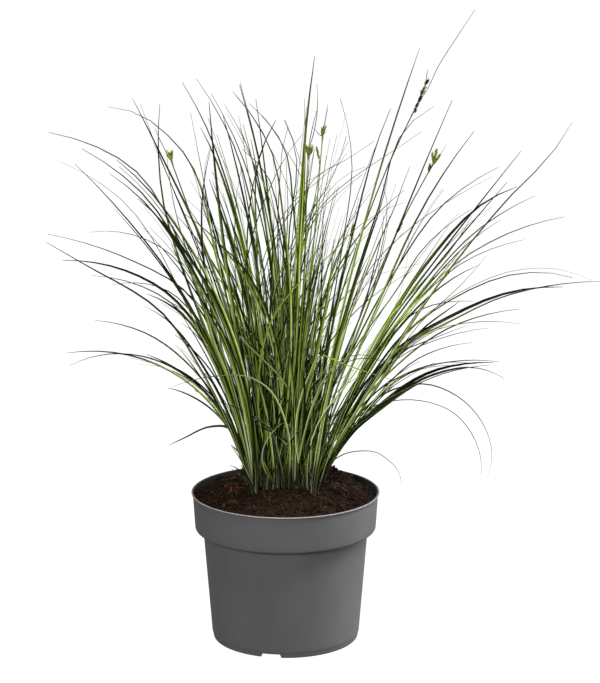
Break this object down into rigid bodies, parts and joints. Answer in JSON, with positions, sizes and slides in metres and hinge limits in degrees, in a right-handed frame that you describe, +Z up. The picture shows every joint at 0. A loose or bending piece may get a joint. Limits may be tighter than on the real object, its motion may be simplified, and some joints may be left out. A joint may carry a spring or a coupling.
{
  "type": "potted ornamental grass",
  "caption": "Evergreen sedge clump with arching grassy leaves and small flower spikes, growing in a round plastic nursery pot of peat.",
  "frame": {"origin": "centre of the pot's foot, on the floor that it stands on", "axes": "+Z up along the pot's axis, -Y towards the side that the picture shows, +X to that view's right"},
  "size_m": [0.5398, 0.5068, 0.6363],
  "materials": {
    "pot_plastic": "satin",
    "peat": "matte",
    "leaf_green": "satin",
    "stalk_green": "satin"
  },
  "bodies": {
    "root": {"pot": "pot_plastic", "soil": "peat", "shoot_01": "leaf_green", "shoot_02": "leaf_green", "shoot_03": "leaf_green", "shoot_04": "leaf_green", "shoot_05": "leaf_green", "shoot_06": "leaf_green", "shoot_07": "leaf_green", "shoot_08": "leaf_green", "shoot_09": "leaf_green", "shoot_10": "leaf_green", "shoot_11": "leaf_green", "shoot_12": "leaf_green", "shoot_13": "leaf_green", "shoot_14": "leaf_green", "shoot_15": "leaf_green", "shoot_16": "leaf_green", "shoot_17": "leaf_green", "shoot_18": "leaf_green", "shoot_19": "leaf_green", "shoot_20": "leaf_green", "shoot_21": "leaf_green", "shoot_22": "leaf_green", "shoot_23": "leaf_green", "shoot_24": "leaf_green", "shoot_25": "leaf_green", "shoot_26": "leaf_green", "shoot_27": "leaf_green", "shoot_28": "leaf_green", "shoot_29": "leaf_green", "shoot_30": "leaf_green", "shoot_31": "leaf_green", "shoot_32": "leaf_green", "shoot_33": "leaf_green", "shoot_34": "leaf_green", "shoot_35": "leaf_green", "shoot_36": "leaf_green", "shoot_37": "leaf_green", "shoot_38": "leaf_green", "shoot_39": "leaf_green", "shoot_40": "leaf_green", "shoot_41": "leaf_green", "shoot_42": "leaf_green", "shoot_43": "leaf_green", "shoot_44": "leaf_green", "shoot_45": "leaf_green", "flower_stem_1": "stalk_green", "flower_stem_2": "stalk_green", "flower_stem_3": "stalk_green", "flower_stem_4": "stalk_green", "flower_stem_5": "stalk_green", "flower_stem_6": "stalk_green"}
  },
  "joints": []
}
